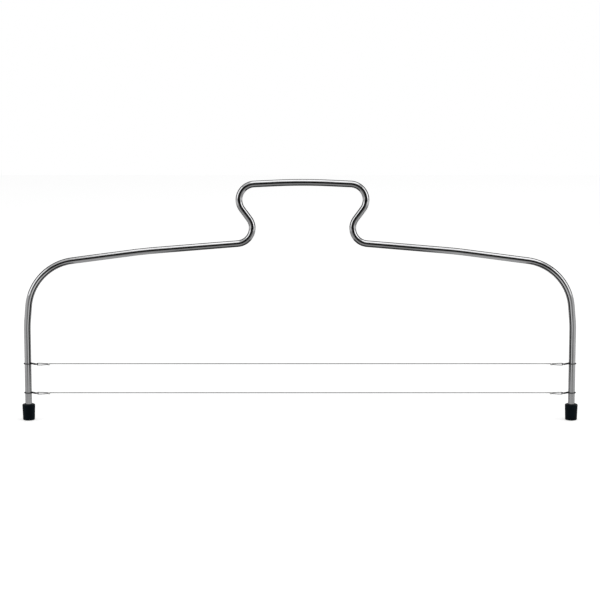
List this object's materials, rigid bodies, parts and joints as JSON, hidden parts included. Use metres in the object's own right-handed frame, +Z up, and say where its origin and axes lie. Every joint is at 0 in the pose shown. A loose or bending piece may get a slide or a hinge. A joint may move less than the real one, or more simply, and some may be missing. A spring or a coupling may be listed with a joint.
{
  "type": "cake leveler",
  "caption": "Bent rod bow with a raised finger handle, rubber feet and level cutting wires whose rings slide up and down the grooved legs.",
  "frame": {"origin": "on the table, midway between the two rubber feet", "axes": "+X along the cutting wires from the left leg to the right leg, +Y through the tool's thin side, away from the user, +Z up towards the handle"},
  "size_m": [0.3378, 0.0078, 0.1474],
  "materials": {
    "polished_steel": "polished steel rod",
    "drawn_wire": "drawn steel wire",
    "link_wire": "bent steel wire",
    "ferrule_metal": "plain pressed metal",
    "black_rubber": "satin black rubber"
  },
  "bodies": {
    "frame": {"bow": "polished_steel", "left_foot": "black_rubber", "right_foot": "black_rubber"},
    "upper_wire": {"upper_cutting_wire": "drawn_wire", "upper_left_wire_loop": "drawn_wire", "upper_right_wire_loop": "drawn_wire", "upper_left_link": "link_wire", "upper_right_link": "link_wire", "upper_left_ferrule": "ferrule_metal", "upper_right_ferrule": "ferrule_metal"},
    "lower_wire": {"lower_cutting_wire": "drawn_wire", "lower_left_wire_loop": "drawn_wire", "lower_right_wire_loop": "drawn_wire", "lower_left_link": "link_wire", "lower_right_link": "link_wire", "lower_left_ferrule": "ferrule_metal", "lower_right_ferrule": "ferrule_metal"}
  },
  "joints": [
    {"name": "upper_wire_slide", "type": "slide", "parent": "frame", "child": "upper_wire", "axis": [0, 0, 1], "range_m": [-0.006, 0.018]},
    {"name": "lower_wire_slide", "type": "slide", "parent": "frame", "child": "lower_wire", "axis": [0, 0, 1], "range_m": [-0.003, 0.009]}
  ]
}
